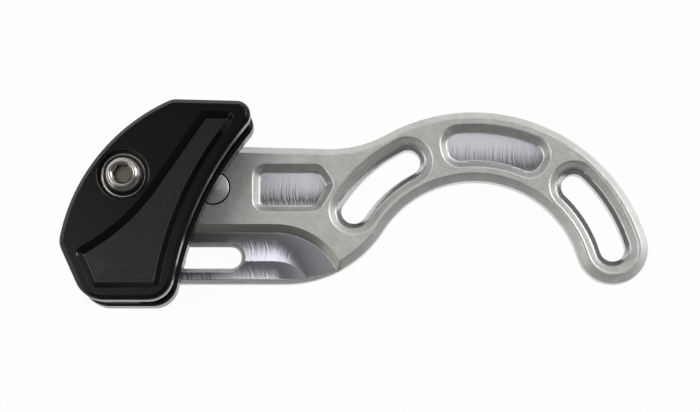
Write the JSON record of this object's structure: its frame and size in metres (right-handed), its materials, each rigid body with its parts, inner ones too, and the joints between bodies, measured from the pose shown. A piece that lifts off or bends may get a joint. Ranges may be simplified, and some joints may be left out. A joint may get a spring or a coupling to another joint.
{
  "type": "bicycle chain guide",
  "caption": "Upper bicycle chain guide: a hooked, slotted back plate that bolts to the frame carries a sliding cage whose cheeks flank the chain.",
  "frame": {"origin": "the bottom bracket axis, which is the centre of the hook's arcs, on the back plate's rear face", "axes": "+Z outboard along the bottom bracket axis, +X along the straight arm away from the cage, +Y across the arm towards the closed side of the hook"},
  "size_m": [0.14, 0.0487, 0.0244],
  "materials": {
    "tumbled_aluminium": "tumbled matte faces with bright milled pockets, bolt ledges and blade",
    "black_anodised_aluminium": "black anodised, satin",
    "black_polymer": "moulded, matte",
    "stainless_steel": "turned and polished",
    "bright_steel": "ground, bright"
  },
  "bodies": {
    "plate": {"back_plate": "tumbled_aluminium", "stop_pin": "bright_steel"},
    "cage": {"inner_cheek": "black_anodised_aluminium", "chain_bumper": "black_polymer", "outer_cheek": "black_anodised_aluminium", "cage_bolt": "stainless_steel", "cage_dowels": "bright_steel", "slot_nut": "bright_steel", "clamp_screws": "stainless_steel"}
  },
  "joints": [
    {"name": "cage_slide", "type": "slide", "parent": "plate", "child": "cage", "axis": [1, 0, 0], "range_m": [0, 0.016]}
  ]
}
